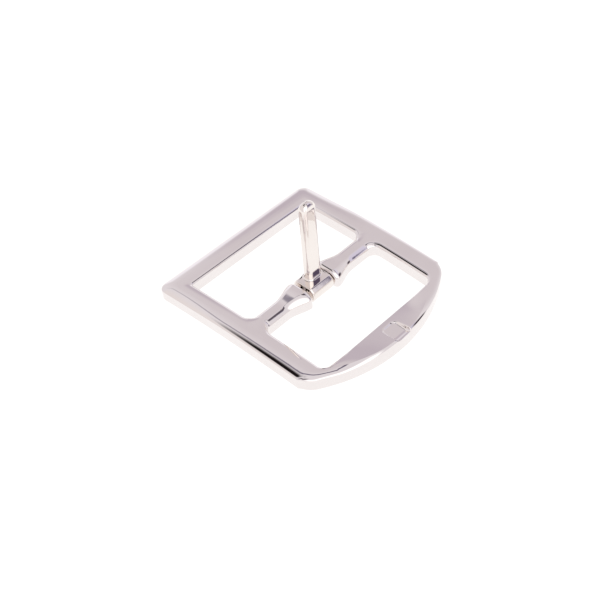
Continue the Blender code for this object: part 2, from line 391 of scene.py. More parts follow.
@dataclass
class FrameCasting:
    """The ring with its heel bar, rails, bowed front bar, and the centre bar with its axle."""

    low: Vector
    high: Vector
    axle_x: float
    axle_z: float
    front_width: float = 47.72 * MM
    bow: float = 7.87 * MM
    heel_depth: float = 6.27 * MM
    front_depth: float = 6.75 * MM
    rail_width: float = 5.71 * MM
    heel_corner: float = 2.4 * MM
    front_ease: float = 3.4 * MM
    bow_ease: float = 2.72 * MM
    heel_window_corner: float = 0.5 * MM
    front_window_corner: float = 2.0 * MM
    bar_fillet: float = 2.1 * MM
    arch_rise: float = 1.05 * MM
    foot: float = 0.25 * MM
    rail_top: float = 3.55 * MM
    outer_wall: float = 2.95 * MM
    outer_fullness: float = 2.15
    outer_ramp: float = 0.1
    heel_wall: float = 2.55 * MM
    heel_fullness: float = 2.0
    inner_wall: float = 2.6 * MM
    inner_fullness: float = 3.2
    bar_wall: float = 2.0 * MM
    bar_fullness: float = 2.3
    waist: float = 2.35 * MM
    waist_cap: float = 1.05
    shoulder: float = 4.0 * MM
    shoulder_flare: float = 7.0 * MM
    shoulder_rise: float = 0.6 * MM
    shoulder_wall_share: float = 0.35
    shoulder_swell_start: float = 11.5 * MM
    shoulder_swell_run: float = 6.0 * MM
    shoulder_end: float = 3.9 * MM
    shoulder_round: float = 1.2 * MM
    shoulder_end_drop: float = 0.8 * MM
    shoulder_end_lip: float = 0.3 * MM
    shoulder_cap: float = 1.12
    axle_radius: float = 0.8 * MM
    axle_station: float = 2.0 * MM
    crest_rise: float = 0.35 * MM
    crest_climb: float = 8.0 * MM
    crest_inset: float = 0.55 * MM
    crest_side_inset: float = 2.2 * MM
    crest_inset_start: float = 4.0 * MM
    crest_inset_run: float = 17.0 * MM
    crest_wall: float = 2.9 * MM
    crest_fullness: float = 3.0
    crest_ramp: float = 0.35
    crest_end: float = 17.0 * MM
    crest_fade: float = 9.0 * MM
    pocket_reach: float = 6.0 * MM
    pocket_side: float = 0.85 * MM
    pocket_half_width: float = 2.2 * MM
    pocket_corner: float = 1.3 * MM
    pocket_start: float = 1.4 * MM
    pocket_floor: float = 2.75 * MM
    pocket_runout: float = 0.75 * MM
    pocket_runout_start: float = 2.0 * MM
    pocket_runout_run: float = 2.4 * MM
    pocket_ease: float = 0.35 * MM
    pocket_curve: float = 2.2 / MM
    pocket_slope: float = 2.0
    pocket_rim: float = 0.1125 * MM
    pocket_lowest: float = 2.08 * MM

    @property
    def corner_x(self) -> float:
        """Where the rails end and the bow begins."""
        return self.high.x - self.bow

    @property
    def lip_x(self) -> float:
        """Inner edge of the front bar."""
        return self.high.x - self.front_depth

    def rail_y(self, x: Array | float) -> Array | float:
        """Outer face of the +Y rail, a straight line that runs in towards the front.

        Args:
            x: Places along the rail.

        Returns:
            The face's y there.
        """
        share = (x - self.low.x) / (self.corner_x - self.low.x)
        return mix(self.high.y - self.low.y, self.front_width, share) / 2

    def rail_inner(self, x: Array | float) -> Array | float:
        """Inner face of the +Y rail, one rail's width in from the outer face.

        Args:
            x: Places along the rail.

        Returns:
            The face's y there.
        """
        return self.rail_y(x) - self.rail_width

    def bow_x(self, y: Array | float) -> Array | float:
        """Outer face of the front bar, an arc through both front corners.

        The radius is (chord^2 + bow^2) / (2 bow), with the chord to one side.

        Args:
            y: Places along the bar.

        Returns:
            The face's x there.
        """
        chord = self.front_width / 2
        radius = (chord**2 + self.bow**2) / (2 * self.bow)
        return self.high.x - radius + np.sqrt(radius**2 - np.square(y))

    def heel_outline(self) -> Array:
        """Outer outline about the +Y heel corner: straight, arc, straight.

        Returns:
            Its plan points, close enough together to read between.
        """
        radius = self.heel_corner
        turn = np.linspace(math.pi, math.pi / 2, ARC_POINTS)
        x = np.linspace(self.low.x + radius, self.axle_x, STRAIGHT_POINTS)
        center = np.array([x[0], self.rail_y(x[0]) - radius])
        return np.concatenate(
            [
                plan(self.low.x, spaced(0.0, center[1], STRAIGHT_POINTS)),
                center + radius * plan(np.cos(turn), np.sin(turn)),
                plan(x, self.rail_y(x))[1:],
            ]
        )

    def front_outline(self) -> Array:
        """Outer outline about the +Y front corner: rail, a quadratic curve for the corner, bow.

        Returns:
            Its plan points, close enough together to read between.
        """
        x = np.linspace(self.axle_x, self.corner_x - self.front_ease, STRAIGHT_POINTS)
        y = np.linspace(self.rail_y(self.corner_x) - self.bow_ease, 0.0, BOW_POINTS)
        start = plan(x[-1], self.rail_y(x[-1]))
        end = plan(self.bow_x(y[0]), y[0])
        tip = plan(self.corner_x, self.rail_y(self.corner_x))
        share = np.linspace(0.0, 1.0, ARC_POINTS)[:, None]
        eased = mix(mix(start, tip, share), mix(tip, end, share), share)
        return np.concatenate(
            [plan(x, self.rail_y(x))[:-1], eased, plan(self.bow_x(y), y)[1:]]
        )

    def bar_half_width(self, y: Array) -> Array:
        """Half width of the centre bar: its waist, a cosine flare, and the shoulder's round end.

        Args:
            y: Places along the bar.

        Returns:
            The half width there.
        """
        share = np.clip((y - self.shoulder_end) / self.shoulder_flare, 0.0, 1.0)
        flare = mix(self.waist, self.shoulder, 0.5 + 0.5 * np.cos(math.pi * share))
        return flare - self.shoulder_round * self.nose(y)

    def nose(self, y: Array) -> Array:
        """How far the shoulder's end is rounded off: 1 - sqrt(1 - t^2), 0 behind the round.

        Args:
            y: Places along the bar.

        Returns:
            The share of the round's radius that is taken off.
        """
        near = np.clip(1.0 - (y - self.shoulder_end) / self.shoulder_round, 0.0, 1.0)
        return 1.0 - np.sqrt(1.0 - near**2)

    def crest_share(self, y: Array) -> Array:
        """Where the front bar's crest lies between its inner edge, 0, and outer edge, 1.

        Args:
            y: Places along the bar.

        Returns:
            The shares.
        """
        depth = self.bow_x(y) - self.lip_x
        spread = smooth((np.abs(y) - self.crest_inset_start) / self.crest_inset_run)
        inset = mix(self.crest_inset, self.crest_side_inset, spread)
        return 1.0 - inset / depth

    def fillet_pivot(self, side: float) -> Array:
        """Centre of the fillet between the centre bar and the +Y rail.

        Args:
            side: -1 for the fillet behind the bar, 1 for the one ahead of it.

        Returns:
            Its plan point.
        """
        x = self.axle_x + side * (self.waist + self.bar_fillet)
        return np.array([x, self.rail_inner(x) - self.bar_fillet])

    def rail(self, start: float, stop: float) -> Stretch:
        """Lay out a straight stretch of the +Y rail.

        Args:
            start: Its first x.
            stop: The x that it leads to.

        Returns:
            The stretch.
        """
        x = spaced(start, stop, RAIL_STATIONS)
        return Stretch.halved(plan(x, self.rail_y(x)), plan(x, self.rail_inner(x)))

    def join(self, start: float, stop: float, side: float) -> Stretch:
        """Lay out the +Y rail across half of the centre bar's end.

        The inner edge lies on the fillet, in line with its centre and the crest.

        Args:
            start: Its first x.
            stop: The x that it leads to.
            side: -1 behind the bar's middle line, 1 ahead of it.

        Returns:
            The stretch.
        """
        x = spaced(start, stop, JOIN_STATIONS)
        outer = plan(x, self.rail_y(x))
        crest = outer - np.array([0.0, self.rail_width / 2])
        return Stretch(outer, crest, towards(self.fillet_pivot(side), crest, self.bar_fillet))

    def ring(self) -> list[Stretch]:
        """Lay out the +Y half of the ring, from the heel's middle round to the front's middle.

        Returns:
            Heel, heel corner, rear rail, the two joins of the centre bar, fore rail, front
            corner and front bar.
        """
        heel_inner = self.low.x + self.heel_depth
        corner = self.heel_window_corner
        heel_pivot = np.array([heel_inner + corner, self.rail_inner(heel_inner) - corner])
        corner = self.front_window_corner
        front_x = self.lip_x - corner
        front_pivot = np.array([front_x, self.rail_inner(front_x) - corner])
        rear_x = self.fillet_pivot(-1.0)[0]
        fore_x = self.fillet_pivot(1.0)[0]

        y = spaced(0.0, heel_pivot[1], HEEL_STATIONS)
        heel = Stretch.halved(plan(self.low.x, y), plan(heel_inner, y))
        turn = spaced(math.pi, math.pi / 2, HEEL_TURN_STATIONS)
        outer = ray_hits(heel_pivot, self.heel_outline(), turn)
        heel_turn = Stretch.halved(outer, towards(heel_pivot, outer, self.heel_window_corner))

        y = np.concatenate(
            [
                spaced(front_pivot[1], self.pocket_reach, BOW_STATIONS),
                np.linspace(self.pocket_reach, 0.0, REST_STATIONS),
            ]
        )
        front_share = self.crest_share(y)[:, None]
        outer = plan(self.bow_x(y), y)
        inner = plan(self.lip_x, y)
        front = Stretch(outer, mix(inner, outer, front_share), inner)
        turn = spaced(math.pi / 2, 0.0, FRONT_TURN_STATIONS)
        outer = ray_hits(front_pivot, self.front_outline(), turn)
        inner = towards(front_pivot, outer, self.front_window_corner)
        around = smooth(spaced(0.0, 1.0, FRONT_TURN_STATIONS))
        turn_share = mix(0.5, front_share[0, 0], around)[:, None]
        front_turn = Stretch(outer, mix(inner, outer, turn_share), inner)
        return [
            heel,
            heel_turn,
            self.rail(heel_pivot[0], rear_x),
            self.join(rear_x, self.axle_x, -1.0),
            self.join(self.axle_x, fore_x, 1.0),
            self.rail(fore_x, front_pivot[0]),
            front_turn,
            front,
        ]

    def section(self, crest: Array, edge: Array, wall: Array, top: Array, **shape: Array) -> Stations:
        """Fill in a stretch of stations.

        Args:
            crest: (n, 2) points of the crest.
            edge: (n, 2) points of the edge.
            wall: Heights of the wall's top.
            top: Heights of the crest.
            shape: Any of bottom, foot, fullness, ramp and cap that differ from the rail's.

        Returns:
            The stations.
        """
        count = (len(crest),)
        values = {
            "bottom": 0.0,
            "foot": self.foot,
            "wall": wall,
            "top": top,
            "fullness": self.inner_fullness,
            "ramp": 0.0,
            "cap": 1.0,
            **shape,
        }
        filled = {name: np.broadcast_to(value, count).astype(float) for name, value in values.items()}
        return Stations(edge=edge, crest=crest, **filled)

    def outer_side(self, part: Stretch, heel_share: Array | float) -> Stations:
        """Section a stretch from its crest out to its outer edge.

        Args:
            part: The stretch.
            heel_share: How far its wall and crown are the heel bar's, 1, or the rail's, 0.

        Returns:
            Its stations.
        """
        wall = mix(self.outer_wall, self.heel_wall, heel_share)
        fullness = mix(self.outer_fullness, self.heel_fullness, heel_share)
        return self.section(
            part.crest, part.outer, wall, self.rail_top, fullness=fullness, ramp=self.outer_ramp
        )

    def inner_side(self, part: Stretch) -> Stations:
        """Section a stretch from its crest in to its inner edge.

        Args:
            part: The stretch.

        Returns:
            Its stations.
        """
        return self.section(part.crest, part.inner, self.inner_wall, self.rail_top)

    def bar_side(self, side: float) -> list[Stations]:
        """Section one side of the centre bar, from the rail's crest to the axle's middle.

        Args:
            side: -1 behind the bar's middle line, 1 ahead of it.

        Returns:
            The fillet, the bar with its shoulder, and the end face with the axle.
        """
        join_y = self.rail_y(self.axle_x) - self.rail_width / 2
        bar_start = min(self.fillet_pivot(each)[1] for each in (-1.0, 1.0))
        join = plan(self.axle_x, spaced(join_y, bar_start, JOIN_STATIONS))
        join_share = smooth(spaced(0.0, 1.0, JOIN_STATIONS))
        turn = np.linspace(0.0, math.pi / 2, NOSE_STATIONS)
        run = np.concatenate(
            [
                spaced(bar_start, self.shoulder_end + self.shoulder_round, SHAFT_STATIONS),
                self.shoulder_end + self.shoulder_round * (1.0 - np.sin(turn)),
            ]
        )
        half = self.bar_half_width(run)
        nose = self.nose(run)
        swell = smooth((self.shoulder_swell_start - run) / self.shoulder_swell_run)
        rise = self.shoulder_rise * swell
        top = self.rail_top + rise - self.shoulder_end_drop * nose
        bottom = self.shoulder_end_lip * nose
        wall = self.bar_wall + self.shoulder_wall_share * rise - bottom

        # The end face closes in on the axle's section, and the last two stations are the axle's
        step = np.append(np.linspace(0.0, 1.0, END_STATIONS)[1:], [1.0, 1.0])
        end_y = np.append(np.full(END_STATIONS - 1, self.shoulder_end), [self.axle_station, 0.0])
        end_half = mix(half[-1], self.axle_radius, step)
        middle = self.axle_z - self.arch(self.axle_x)
        return [
            self.section(
                join,
                towards(self.fillet_pivot(side), join, self.bar_fillet),
                mix(self.inner_wall, self.bar_wall, join_share),
                self.rail_top,
                fullness=mix(self.inner_fullness, self.bar_fullness, join_share),
            ),
            self.section(
                plan(self.axle_x, run),
                plan(self.axle_x + side * half, run),
                wall,
                top,
                bottom=bottom,
                fullness=mix(self.bar_fullness, ROUND, swell),
                cap=mix(self.waist_cap, self.shoulder_cap, swell),
            ),
            self.section(
                plan(self.axle_x, end_y),
                plan(self.axle_x + side * end_half, end_y),
                mix(wall[-1], middle, step),
                mix(top[-1], middle + self.axle_radius, step),
                bottom=mix(bottom[-1], middle - self.axle_radius, step),
                foot=mix(self.foot, self.axle_radius, step),
                fullness=ROUND,
                cap=mix(self.shoulder_cap, 1.0, step),
            ),
        ]

    def build(self) -> bpy.types.Object:
        """Work out the outer loop and the loops of both windows, and weld them.

        Returns:
            The casting, with its place in its mesh.
        """
        ring = self.ring()
        heel, heel_turn, rail_rear, join_rear, join_fore, rail_fore, front_turn, front = ring
        y = front.outer[:, 1]
        front_top = self.rail_top + self.crest_rise * smooth((y[0] - y) / self.crest_climb)
        crest_share = smooth((self.crest_end - y) / self.crest_fade)

        fading = 1.0 - smooth(np.linspace(0.0, 1.0, RAIL_STATIONS - 1))
        heel_shares = (1.0, 1.0, fading, 0.0, 0.0, 0.0, 0.0)
        outer_parts = [self.outer_side(part, share) for part, share in zip(ring, heel_shares)]
        outer_parts.append(
            self.section(
                front.crest,
                front.outer,
                mix(self.outer_wall, self.crest_wall, crest_share),
                front_top,
                fullness=mix(self.outer_fullness, self.crest_fullness, crest_share),
                ramp=mix(self.outer_ramp, self.crest_ramp, crest_share),
            )
        )
        rear_parts = [self.inner_side(part) for part in (heel, heel_turn, rail_rear, join_rear)]
        rear_parts += self.bar_side(-1.0)
        # The fore window's loop starts at the front bar and runs back to the join, whose own
        # first point is the corner that the centre bar starts from
        fore_parts = [
            self.section(
                front.crest[::-1],
                front.inner[::-1],
                self.inner_wall,
                front_top[::-1],
                ramp=crest_share[::-1],
            ),
            self.inner_side(front_turn.turned()),
            self.inner_side(rail_fore.turned()),
            self.inner_side(join_fore.turned(skip=1)),
            *self.bar_side(1.0),
        ]
        loops = [Stations.joined(parts).mirrored() for parts in (outer_parts, rear_parts, fore_parts)]
        return welded_mesh("frame_casting", [self.raised(loop.skin(TOP_ROWS)) for loop in loops])

    def arch(self, x: Array | float) -> Array | float:
        """Lift of the section: a parabola from end to end of the frame.

        Args:
            x: Places along the frame.

        Returns:
            The lift there.
        """
        return self.arch_rise * (1.0 - np.square(x / self.high.x))

    def raised(self, grid: Array) -> Array:
        """Sink the pocket into the front bar, then lift the skin onto its arch.

        Args:
            grid: (rows, stations, 3) points with heights above the underside.

        Returns:
            The points in the frame's own place.
        """
        x, y, z = grid[..., 0], grid[..., 1], grid[..., 2]
        z = self.with_pocket(x, y, z)
        return np.stack([x, y, z + self.arch(x)], axis=-1)

    def with_pocket(self, x: Array, y: Array, z: Array) -> Array:
        """Sink the rest for the tongue's tip into the front bar's slope and crest.

        The pocket is a rounded slot open at its outer end. Its floor is level until it runs
        out upwards near that end. Its side rises with the distance beyond its outline, by a
        square and a straight slope, and the lower of slope and pocket is taken with a soft
        minimum, which rounds the rim.

        Args:
            x: Plan x of the points.
            y: Plan y of the points.
            z: Heights above the underside.

        Returns:
            The new heights.
        """
        corner = self.pocket_corner
        across = np.abs(y - self.pocket_side) - (self.pocket_half_width - corner)
        along = self.lip_x + self.pocket_start + corner - x
        gap = np.hypot(np.maximum(across, 0.0), np.maximum(along, 0.0)) - corner
        out = smooth((x - self.high.x + self.pocket_runout_start) / self.pocket_runout_run)
        floor = self.pocket_floor + self.pocket_runout * out
        side = np.maximum(gap + self.pocket_ease, 0.0)
        tool = floor + self.pocket_curve * np.square(side) + self.pocket_slope * np.maximum(gap, 0.0)
        low = (z + tool - np.sqrt(np.square(z - tool) + self.pocket_rim**2)) / 2
        touched = (z > self.pocket_lowest) & (x > self.lip_x)
        return np.where(touched, low, z)


@dataclass
class TongueCasting:
    """The barrel that turns on the axle and the prong that stands on it."""

    axle_x: float
    axle_z: float
    tip_z: float
    barrel_half_length: float = 3.4 * MM
    barrel_top: float = 1.55 * MM
    barrel_foot: float = -2.4 * MM
    barrel_half_depth: float = 3.55 * MM
    barrel_top_half_depth: float = 2.35 * MM
    barrel_foot_half_depth: float = 2.75 * MM
    side_taper: float = 0.15 * MM
    side_foot: float = 1.1 * MM
    side_top: float = 1.95 * MM
    bevel_share: float = 0.35
    bevel_drop: float = 0.85 * MM
    barrel_edge: float = 0.22 * MM
    barrel_corner: float = 0.44 * MM
    rim_inset: float = 0.15 * MM
    bore_radius: float = 1.1 * MM
    bore_length: float = 10.2 * MM
    prong_x: float = -0.74 * MM
    prong_y: float = 0.6 * MM
    prong_width: float = 4.15 * MM
    prong_thickness: float = 2.5 * MM
    prong_taper: float = 0.965
    prong_edge: float = 0.95 * MM
    tip_rise: float = 1.5 * MM
    tip_fullness: float = 2.1
    tip_rounding: float = 4.0
    foot_fillet: float = 0.55 * MM
    foot_margin: float = 0.05 * MM

    def loop_frame(self) -> tuple[Array, Array, Array, Array]:
        """Which way each point of a rounded rectangle lies.

        Returns:
            The corner centre's signs along x and y, which slide from -1 to 1 on the
            straights, and the unit direction from that centre.
        """
        quarter = np.linspace(0.0, math.pi / 2, CORNER_POINTS)
        slide = np.linspace(1.0, -1.0, SIDE_POINTS)[1:-1]
        sign_x: list[Array] = []
        sign_y: list[Array] = []
        angle: list[Array] = []
        for corner, (sx, sy) in enumerate(((1, 1), (-1, 1), (-1, -1), (1, -1))):
            turn = quarter + corner * math.pi / 2
            sign_x.append(np.full(len(turn), float(sx)))
            sign_y.append(np.full(len(turn), float(sy)))
            angle.append(turn)
            along_x = corner % 2 == 0
            sign_x.append(sx * slide if along_x else np.full(len(slide), float(sx)))
            sign_y.append(np.full(len(slide), float(sy)) if along_x else sy * slide)
            angle.append(np.full(len(slide), turn[-1]))
        turned = np.concatenate(angle)
        return np.concatenate(sign_x), np.concatenate(sign_y), np.cos(turned), np.sin(turned)

    def loops(self, center: Array, half: Array, radius: Array, z: Array) -> Array:
        """Stack rounded rectangles.

        Args:
            center: (n, 2) centres.
            half: (n, 2) half sizes.
            radius: (n,) corner radii.
            z: (n,) heights.

        Returns:
            (n, points, 3) loops.
        """
        sign_x, sign_y, unit_x, unit_y = self.loop_frame()
        reach = np.minimum(radius, CORNER_LIMIT * half.min(axis=1))[:, None]
        x = center[:, :1] + sign_x * (half[:, :1] - reach) + unit_x * reach
        y = center[:, 1:] + sign_y * (half[:, 1:] - reach) + unit_y * reach
        return np.stack([x, y, np.broadcast_to(z[:, None], x.shape)], axis=-1)

    def barrel_levels(self) -> tuple[Array, Array, Array]:
        """Profile of the barrel from its bottom up: half depth, half length and height.

        The depth follows straight runs whose corners are eased by quadratic curves.

        Returns:
            Arrays of half depth, half length and height.
        """
        low = self.axle_z + self.barrel_foot
        high = self.axle_z + self.barrel_top
        bevel = mix(self.barrel_half_depth, self.barrel_top_half_depth, self.bevel_share)
        corners = np.array(
            [
                [self.barrel_foot_half_depth, low],
                [self.barrel_half_depth - self.side_taper, low + self.side_foot],
                [self.barrel_half_depth, high - self.side_top],
                [bevel, high - self.bevel_drop],
                [self.barrel_top_half_depth, high],
            ]
        )
        before = np.concatenate([[[0.0, low]], corners[:-1]])
        after = np.concatenate([corners[1:], [[0.0, high]]])
        share = np.linspace(0.0, 1.0, EDGE_POINTS)[:, None]
        curves = []
        for point, back, ahead in zip(corners, before, after):
            start = point + self.barrel_edge * (back - point) / np.linalg.norm(back - point)
            end = point + self.barrel_edge * (ahead - point) / np.linalg.norm(ahead - point)
            curves.append(mix(mix(start, point, share), mix(point, end, share), share))
        line = np.concatenate(curves)
        depth, height = line[:, 0], line[:, 1]
        edge = self.barrel_edge
        near = np.clip(1.0 - np.minimum(height - low, high - height) / edge, 0.0, 1.0)
        length = self.barrel_half_length - edge * (1.0 - np.sqrt(1.0 - near**2))
        return depth, length, height

    def prong(self, top: float) -> tuple[Array, Array, Array]:
        """Profile of the prong: a filleted foot, a tapered shaft and a superellipse tip.

        Args:
            top: Height of the barrel's flat top.

        Returns:
            Arrays of half thickness and half width, of corner radius, and of height.
        """
        turn = np.linspace(0.0, math.pi / 2, FILLET_ROWS)
        flare = self.foot_fillet * (1.0 - np.sin(turn))
        flare_z = top + self.foot_fillet * (1.0 - np.cos(turn))
        shaft_z = np.linspace(flare_z[-1], self.tip_z - self.tip_rise, PRONG_ROWS)[1:]
        climb = np.sin(np.linspace(0.0, math.pi / 2, TIP_ROWS)[1:-1])
        z = np.concatenate([flare_z, shaft_z, self.tip_z - self.tip_rise * (1.0 - climb)])
        grown = np.concatenate([flare, 0.0 * shaft_z, 0.0 * climb])
        narrow = (1.0 - climb**self.tip_fullness) ** (1.0 / self.tip_fullness)
        shrink = np.concatenate([np.ones(len(flare) + len(shaft_z)), narrow])
        taper = mix(1.0, self.prong_taper, (z - top) / (self.tip_z - top)) * shrink
        half = np.stack(
            [self.prong_thickness / 2 * taper + grown, self.prong_width / 2 * taper + grown],
            axis=1,
        )
        return half, self.prong_edge * mix(1.0, self.tip_rounding, 1.0 - shrink) + grown, z

    def build(self) -> bpy.types.Object:
        """Stack the loops of barrel and prong and close both ends in a point.

        Returns:
            The casting, with its place in its mesh.
        """
        depth, length, height = self.barrel_levels()
        top = height[-1]
        barrel_middle = plan(np.full(len(depth), self.axle_x), 0.0)
        barrel = self.loops(
            barrel_middle,
            np.stack([depth, length], axis=1),
            np.full(len(depth), self.barrel_corner),
            height,
        )
        half, radius, z = self.prong(top)
        middle = np.array([self.axle_x + self.prong_x, self.prong_y])
        prong = self.loops(np.tile(middle, (len(z), 1)), half, radius, z)
        # Rings close to both edges of the barrel's flat top keep its shading flat
        rims = self.loops(
            np.stack([barrel_middle[-1], middle]),
            np.array(
                [
                    [depth[-1] - self.rim_inset, length[-1] - self.rim_inset],
                    half[0] + self.foot_margin,
                ]
            ),
            np.array([self.barrel_corner, radius[0] + self.foot_margin]),
            np.full(2, top),
        )
        low_point = np.array([self.axle_x, 0.0, height[0]])
        base = mix(low_point, barrel[0], np.array(BASE_SHARES)[:, None, None])
        cap = np.broadcast_to(np.array([*middle, self.tip_z]), (1, barrel.shape[1], 3))
        stack = np.concatenate([base, barrel, rims, prong, cap])
        piece = welded_mesh("tongue_casting", [stack])
        self.bore(piece)
        return piece

    def bore(self, piece: bpy.types.Object) -> None:
        """Cut the hole for the axle right through the barrel.

        Args:
            piece: The solid casting, which keeps its place.
        """
        bm = bmesh.new()
        bmesh.ops.create_cone(
            bm,
            cap_ends=True,
            segments=BORE_SEGMENTS,
            radius1=self.bore_radius,
            radius2=self.bore_radius,
            depth=self.bore_length,
            matrix=Matrix.Translation((self.axle_x, 0.0, self.axle_z))
            @ Matrix.Rotation(math.pi / 2, 4, "X"),
        )
        mesh = bpy.data.meshes.new("bore_cutter")
        bm.to_mesh(mesh)
        bm.free()
        cutter = bpy.data.objects.new("bore_cutter", mesh)
        bpy.context.collection.objects.link(cutter)
        cut = piece.modifiers.new("bore", "BOOLEAN")
        cut.operation = "DIFFERENCE"
        cut.solver = "EXACT"
        cut.object = cutter
        graph = bpy.context.evaluated_depsgraph_get()
        done = bpy.data.meshes.new_from_object(piece.evaluated_get(graph))
        piece.modifiers.remove(cut)
        solid = piece.data
        piece.data = done
        done.name = piece.name
        bpy.data.meshes.remove(solid)
        bpy.data.objects.remove(cutter)
        bpy.data.meshes.remove(mesh)
        done.shade_smooth()
        done.set_sharp_from_angle(angle=BORE_SHARP)


def add_node(
    tree: bpy.types.NodeTree, kind: str, inputs: dict[str | int, object], **settings: str
) -> bpy.types.Node:
    """Add a shader node, and join or set its inputs.

    Args:
        tree: The nodes that it goes with.
        kind: Its type, without the prefix that all shader nodes share.
        inputs: The socket or the value that feeds each input, by the input's name or place.
        settings: Its own settings.

    Returns:
        The node.
    """
    node = tree.nodes.new(f"ShaderNode{kind}")
    for name, setting in settings.items():
        setattr(node, name, setting)
    for key, source in inputs.items():
        if isinstance(source, bpy.types.NodeSocket):
            tree.links.new(source, node.inputs[key])
        else:
            node.inputs[key].default_value = source
    return node


@dataclass(frozen=True)
class Plating:
    """Polished nickel over a casting.

    The colour drifts a little over the surface, the polish is hazier in patches, and the
    casting under it ripples. The sizes are those of one blotch of each.
    """

    name: str
    color: tuple[float, float, float]
    tarnish: tuple[float, float, float]
    drift_size: float = 9.0 * MM
    roughness: float = 0.02
    haze: float = 0.035
    haze_size: float = 5.0 * MM
    haze_start: float = 0.45
    haze_full: float = 0.75
    ripple: float = 0.09
    ripple_size: float = 1.6 * MM
    ripple_depth: float = 0.05 * MM

    @staticmethod
    def noise(
        tree: bpy.types.NodeTree,
        place: bpy.types.NodeSocket,
        size: float,
        detail: float,
        rough: float = 0.5,
    ) -> bpy.types.NodeSocket:
        """Add noise.

        Args:
            tree: The material's nodes.
            place: Coordinates that the noise is laid on.
            size: Width of one blotch.
            detail: Number of finer layers.
            rough: Strength of each finer layer.

        Returns:
            The noise's value.
        """
        inputs = {"Vector": place, "Scale": 1.0 / size, "Detail": detail, "Roughness": rough}
        return add_node(tree, "TexNoise", inputs).outputs["Fac"]

    def build(self) -> bpy.types.Material:
        """Make the node material.

        Returns:
            The material.
        """
        material = bpy.data.materials.new(self.name)
        material.use_nodes = True
        tree = material.node_tree
        shader = tree.nodes["Principled BSDF"]
        shader.inputs["Metallic"].default_value = 1.0
        place = add_node(tree, "TexCoord", {}).outputs["Object"]

        drift = self.noise(tree, place, self.drift_size, detail=3.0)
        inputs = {MIX_FACTOR: drift, MIX_LOW: (*self.color, 1.0), MIX_HIGH: (*self.tarnish, 1.0)}
        tint = add_node(tree, "Mix", inputs, data_type="RGBA")
        inputs = {
            "Value": self.noise(tree, place, self.haze_size, detail=4.0, rough=0.6),
            "From Min": self.haze_start,
            "From Max": self.haze_full,
            "To Min": self.roughness,
            "To Max": self.roughness + self.haze,
        }
        spread = add_node(tree, "MapRange", inputs)
        waves = self.noise(tree, place, self.ripple_size, detail=2.0)
        inputs = {"Height": waves, "Strength": self.ripple, "Distance": self.ripple_depth}
        bump = add_node(tree, "Bump", inputs)
        tree.links.new(tint.outputs[MIX_RESULT], shader.inputs["Base Color"])
        tree.links.new(spread.outputs["Result"], shader.inputs["Roughness"])
        tree.links.new(bump.outputs["Normal"], shader.inputs["Normal"])
        return material


@dataclass
class Viewpoint:
    """The camera: direction, distance and lens, and where its aim point lands."""

    azimuth: float = 48.10
    elevation: float = 45.585
    roll: float = -5.69
    distance: float = 233.02 * MM
    lens: float = 59.027
    clip_start: float = 10.0 * MM
    aim: Vector = field(default_factory=lambda: Vector((4.302 * MM, 0.0, 3.046 * MM)))
    offset: tuple[float, float] = (4.916 * MM, 3.07 * MM)

    def build(self) -> bpy.types.Object:
        """Place the camera and make it the scene's.

        Returns:
            The camera.
        """
        a, e, r = (math.radians(v) for v in (self.azimuth, self.elevation, self.roll))
        back = Vector((math.sin(a) * math.cos(e), -math.cos(a) * math.cos(e), math.sin(e)))
        level = Vector((math.cos(a), math.sin(a), 0.0))
        upright = back.cross(level)
        right = level * math.cos(r) + upright * math.sin(r)
        up = upright * math.cos(r) - level * math.sin(r)
        data = bpy.data.cameras.new("viewpoint")
        data.lens = self.lens
        data.sensor_width = SENSOR_WIDTH
        data.clip_start = self.clip_start
        camera = bpy.data.objects.new("viewpoint", data)
        place = self.aim + back * self.distance - right * self.offset[0] - up * self.offset[1]
        turn = Matrix((right, up, back)).transposed().to_4x4()
        camera.matrix_world = Matrix.Translation(place) @ turn
        bpy.context.collection.objects.link(camera)
        bpy.context.scene.camera = camera
        return camera


class Tone(Enum):
    """Colours of the light that comes from the tent and its cards."""

    TENT = (0.88, 0.85, 0.88)
    ROOF = (0.74, 0.69, 0.72)
    BRIGHT = (1.45, 1.45, 1.45)
    PALE = (1.05, 1.03, 1.09)
    WARM = (0.92, 0.87, 0.86)
    LILAC = (0.76, 0.73, 0.88)
    DIM = (0.62, 0.56, 0.62)
    MAUVE = (0.07, 0.05, 0.07)
    VIOLET = (0.12, 0.10, 0.17)
    DUSK = (0.12, 0.10, 0.12)
    BLACK = (0.012, 0.008, 0.009)


@dataclass(frozen=True)
class Card:
    """An oval softbox or dark flag on the light tent.

    The tent is laid out on a plan whose middle is straight up. A direction's distance from
    the middle is its angle from straight up, in degrees, and it lies the way it points.
    """

    x: float
    y: float
    half_x: float
    half_y: float
    tone: Tone
    turn: float = 0.0
    soft: float = 0.4


